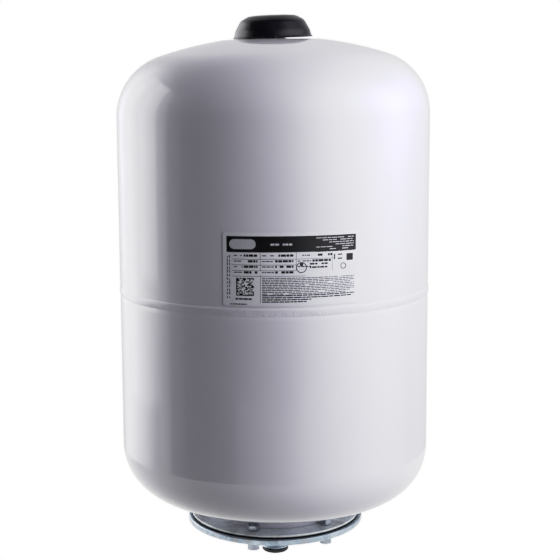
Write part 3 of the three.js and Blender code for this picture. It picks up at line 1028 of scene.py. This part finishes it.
def make_nipple(zinc):
    top = box_mm("connection_nipple")[1].z
    outline = [(NIPPLE_BORE, 0.6), (NIPPLE_BORE + 0.6, 0), (NIPPLE_R - 1.3, 0)]
    outline += thread_outline(NIPPLE_R, 1.2, 22, NIPPLE_PITCH)
    outline += [(NIPPLE_R, 24), (NIPPLE_R, top), (NIPPLE_BORE, top)]
    screw = threaded(NIPPLE_R, 1.1, NIPPLE_PITCH, 1.3, 22)
    piece = turned("threaded_nipple", outline, zinc, 96, screw, 40)
    settle(piece, "vessel", "zinc", "connection_nipple")


def make_nipple_weld(zinc):
    """The rippled fillet between the nipple and the counterflange."""
    low, high = box_mm("nipple_weld")
    inner = NIPPLE_R + GAP

    def shape(r, z, angle):
        place = Vector((math.cos(angle), math.sin(angle), 0)) * 7
        ripple = 0.06 * math.sin(36 * angle) if r > inner + 0.2 else 0
        return r + 0.3 * noise.noise(place) * (r - inner) / 3 + ripple, z

    outline = [(inner, low.z), (inner, high.z), (inner + 2.9, high.z), (inner + 2.7, high.z - 0.8)]
    outline += [(inner + 1.7, high.z - 1.5), (inner + 0.8, low.z + 0.7)]
    piece = turned("nipple_fillet", outline, zinc, 144, shape, 50)
    settle(piece, "vessel", "zinc", "nipple_weld")


def make_plug(plastic):
    """A soft cap plug: a rounded flange, a hollow ribbed stem and a moulding mark underneath."""
    low = PLUG_LOW - 0.5
    outline = rounded([
        (0, low + 0.5),
        (3.2, low + 0.5, 0.3),
        (3.6, low, 0.3),
        (11.4, low, 1.1),
        (12.4, low + 1.3, 0.8),
        (12.4, -GAP, 0.4),
        (9.5, -GAP, 0.2),
        (9.6, 2.2, 0.3),
        (9.2, 3.0, 0.3),
        (9.5, 5.0, 0.4),
        (9.1, 6.0, 0.3),
        (9.4, 8.0, 0.4),
        (8.8, 11.0, 0.4),
        (7.8, 11.0, 0.3),
        (7.7, low + 2.2, 0.8),
        (0, low + 2.2),
    ])
    piece = turned("cap_plug", outline, plastic, 96)
    settle(piece, "plug", "black_plastic", "transport_plug")


# -------- bladder

def make_bladder(rubber):
    """The moulded bag, with its clamped lip below and shallow ribs where the mould parted."""
    lip_low = FLANGE_Z + PLATE + GAP
    lip_high = RING_Z - GAP
    neck_r = RING_BORE - 0.6
    top_z, rise, bag_r = 328, 62, 119
    shoulder, shoulder_z = 52, 112
    outside = [(60.5, lip_low), (60.5, lip_high), (neck_r, lip_high), (neck_r, 52)]
    inside = [(neck_r - 3.2, lip_low), (neck_r - 3.2, 53)]
    for side, inset in ((outside, 0), (inside, 2)):
        side += arc(bag_r - shoulder, shoulder_z, shoulder - inset, -80, 0, 12)
        side += straight((bag_r - inset, shoulder_z), (bag_r - inset, top_z), 16)
        for i in range(17):
            a = math.pi / 2 * i / 16
            r = (bag_r - inset) * math.cos(a) if i < 16 else 0
            side.append((r, top_z + (rise - inset) * math.sin(a)))

    def shape(r, z, angle):
        belly = math.sin(math.pi * min(1, max(0, (z - 60) / 320)))
        rib = math.exp(-((math.degrees(angle) % 90 - 45) / 1.6) ** 2)
        return r + belly * (0.5 * rib - 0.8 * (1 + math.cos(4 * angle)) / 2), z

    piece = turned("moulded_bag", outside + inside[::-1], rubber, 144, shape)
    settle(piece, "vessel", "rubber", "bladder")


# -------- air valve

def from_seat(outline):
    """The valve's heights are counted from its seat on the tank."""
    return [(r, VALVE_SEAT + z) for r, z in outline]


def make_valve(brass, bright, rubber, seal_red):
    body = [(STEM_BORE, 3.4), (4.15, 3.4), (4.15, 6.1), (4.4, 6.4), (7.4, 6.4), (7.7, 6.1), (7.7, -4.9)]
    body += [(11.3, -4.9), (11.5, -5.2), (11.5, -7.7), (11.2, -8), (5.4, -8), (5, -8.4), (5, -15.6)]
    body += [(4.6, -16), (1.4, -16), (1.4, -13), (2.45, -13), (2.45, -1.5), (STEM_BORE, -1.2)]
    settle(turned("valve_base", from_seat(body), brass, 72), "vessel", "brass", "valve_body")

    thread_low, thread_high = VALVE_SEAT + 6.6, VALVE_SEAT + 10.1
    tube = from_seat([(STEM_BORE, 3.7), (STEM_R, 3.7)])
    tube += thread_outline(STEM_R, thread_low, thread_high, STEM_PITCH)
    tube += from_seat([(STEM_R - 0.3, 10.6), (3.1, 10.6), (STEM_BORE, 10.3)])
    screw = threaded(STEM_R, 0.35, STEM_PITCH, thread_low, thread_high)
    settle(turned("threaded_stem", tube, brass, 72, screw), "vessel", "brass", "valve_stem")

    gasket = rounded([(8.1, -4.6, 0.3), (11.5, -4.6, 0.6), (11.5, -2.1, 0.6), (8.1, -2.1, 0.3)])
    settle(turned("rubber_gasket", from_seat(gasket), rubber), "vessel", "rubber", "valve_gasket")
    washer = rounded([(8.1, 0, 0.1), (13, 0, 0.3), (13, 1.2, 0.3), (8.1, 1.2, 0.1)])
    settle(turned("stem_washer", from_seat(washer), bright), "vessel", "zinc", "valve_washer")

    low, high, flats = VALVE_SEAT + 1.5, VALVE_SEAT + 6.2, 22
    nut = nut_outline(flats, 8.0, low, high, 1.3)
    piece = turned("hex_stem_nut", nut, bright, 96, hexed(flats, top=high, bottom=low), 28)
    settle(piece, "vessel", "zinc", "valve_nut")

    core = [(0.85, 6), (1.9, 6), (2.6, 5.5), (2.6, 1.2), (1.9, 1), (1.7, 0.8), (1.7, -3.7)]
    core += [(1.4, -4), (0.85, -4)]
    settle(turned("core_sleeve", from_seat(core), brass, 48), "vessel", "brass", "valve_core_body")
    seal = rounded([(1.8, -1, 0.1), (2.35, -0.7, 0.2), (2.35, 0.5, 0.2), (1.8, 0.8, 0.1)], 3)
    settle(turned("core_sleeve_seal", from_seat(seal), seal_red, 48), "vessel", "seal_red", "valve_core_seal")
    pin = [(0, -8), (0.4, -8), (0.55, -7.8), (0.55, 9.6), (0.4, 9.9), (0, 9.9)]
    settle(turned("core_needle", from_seat(pin), brass, 32), "core_pin", "brass", "valve_core_pin")
    cup = rounded([(0.65, -5.9, 0.1), (1.7, -5.9, 0.3), (1.7, -4.2, 0.2), (0.65, -4.2, 0.1)], 3)
    settle(turned("core_cup_seal", from_seat(cup), rubber, 48), "core_pin", "rubber", "valve_core_cup")


def make_spring(wire):
    """Five turns of fine wire. The real coil shortens as the pin is pressed; this one keeps its length."""
    low, high = box_mm("valve_core_spring")
    turns, steps, sides, coil_r, wire_r = 5, 30, 10, 1.6, 0.22
    rise = high.z - low.z - 2 * wire_r
    code = bmesh.new()
    rings = []
    for i in range(turns * steps + 1):
        t = i / (turns * steps)
        a = 2 * math.pi * turns * t
        centre = Vector((coil_r * math.cos(a), coil_r * math.sin(a), low.z + wire_r + rise * t))
        out = Vector((math.cos(a), math.sin(a), 0))
        ring = []
        for k in range(sides):
            b = 2 * math.pi * k / sides
            ring.append(code.verts.new(centre + wire_r * (out * math.cos(b) + Vector((0, 0, math.sin(b))))))
        rings.append(ring)
    for first, second in zip(rings, rings[1:]):
        skin(code, first, second)
    code.faces.new(rings[0])
    code.faces.new(rings[-1][::-1])
    piece = finish_mesh("core_coil", code, wire)
    settle(piece, "vessel", "steel", "valve_core_spring")
    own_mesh(piece)


def make_dust_cap(plastic, rubber):
    """A small screw cap with a ribbed grip."""
    grip_r, bore, ribs, rib_depth = 5.6, 4.35, 24, 0.28
    outline = [(bore, 7.2), (grip_r - 0.3, 7.2), (grip_r, 7.5)]
    outline += [(grip_r, 7.5 + 0.4 * i) for i in range(1, 11)]
    outline += [(5.4, 11.9), (5.0, 12.35), (4.6, 12.5), (2.4, 12.5), (2.2, 12.3), (0, 12.3)]
    outline += [(0, 11.5), (bore, 11.5)]

    def shape(r, z, angle):
        if r < grip_r - 0.01:
            return r, z
        return r - rib_depth * (0.5 + 0.5 * math.cos(ribs * angle)) ** 2, z

    cap = turned("screw_cap", from_seat(outline), plastic, 240, shape)
    settle(cap, "cap", "black_plastic", "dust_cap")
    seal = rounded([(0, 10.7), (4.1, 10.7, 0.2), (4.1, 11.4, 0.2), (0, 11.4)])
    settle(turned("screw_cap_seal", from_seat(seal), rubber, 48), "cap_seal", "rubber", "dust_cap_seal")


def make_cover(plastic):
    """The push-on cover: a low domed cap with a soft shoulder, a pry notch and a sleeve inside."""
    skirt_r, top, wall = 35.6, 20.5, 1.8
    sleeve_r, bore, foot = 15.0, 13.6, 3
    outline = rounded([
        (0, top),
        (12.6, top - 0.15, 8),
        (21.5, top - 0.95, 14),
        (28.6, top - 5.0, 9),
        (33.4, 6.7, 12),
        (34.7, 1.6, 1.5),
        (skirt_r, 0.9, 0.5),
        (skirt_r, 0, 0.3),
        (skirt_r - wall, 0, 0.3),
        (32.4, 4.4, 2),
        (28.0, 12.9, 5),
        (21.4, 17.2, 4),
        (sleeve_r, top - wall - 0.4, 0.6),
        (sleeve_r, foot, 0.4),
        (bore, foot, 0.4),
        (bore, top - wall - 0.3, 0.5),
        (0, top - wall),
    ], 7)
    notch_turn, notch_half, notch_depth, notch_fade = 2, 3.2, 1.5, 2.4

    def shape(r, z, angle):
        turn = (math.degrees(angle) + 90 + 180) % 360 - 180
        notch = math.exp(-(abs(turn - notch_turn) / notch_half) ** 4)
        if r > skirt_r - wall - 0.8 and z < notch_fade:
            return r, z + notch_depth * notch * (1 - z / notch_fade)
        return r, z

    piece = turned("domed_cover", outline, plastic, 240, shape)
    upright = Vector(COVER_LIFT["axis"])
    tilt = Vector((0, 0, 1)).rotation_difference(upright)
    seat_z = LAND_Z + skirt_r * math.sin(tilt.angle) + 0.15
    piece.data.transform(Matrix.Translation((0, 0, seat_z * MM)) @ tilt.to_matrix().to_4x4())
    settle(piece, "cover", "black_plastic", "valve_cover")


# -------- the scene

def build():
    make_camera()
    make_response()
    make_world()
    make_lights()
    make_floor()
    paint, bright, plastic = make_paint(), make_bolt_zinc(), make_plastic()
    zinc = make_zinc("zinc", (0.34, 0.40, 0.46), (0.50, 0.56, 0.63), 1.0)
    # The neck ring's copy of the zinc is painted far lighter and made nearly non-metallic: painted light on
    # its shaded top.
    ring_zinc_painted_light = make_zinc("ring_zinc_painted_light", (0.76, 0.82, 0.84), (0.88, 0.93, 0.94), 0.15)
    rubber, brass, wire, seal_red = make_rubber(), make_brass(), make_wire(), make_seal_red()
    film = make_film()
    black = make_ink("black_ink", (0.006, 0.006, 0.008), (0.014, 0.014, 0.017), 0.33)
    grey = make_ink("grey_ink", (0.55, 0.55, 0.60), (0.66, 0.66, 0.71), 0.40)
    make_upper_cup(paint)
    make_lower_cup(paint)
    make_weld_bead(paint)
    make_label(film, black, grey)
    make_neck_ring(ring_zinc_painted_light)
    make_collar_weld(paint)
    make_counterflange(zinc)
    make_bolts(bright)
    make_nipple(zinc)
    make_nipple_weld(zinc)
    make_plug(plastic)
    make_bladder(rubber)
    make_valve(brass, bright, rubber, seal_red)
    make_spring(wire)
    make_dust_cap(plastic, rubber)
    make_cover(plastic)


build()
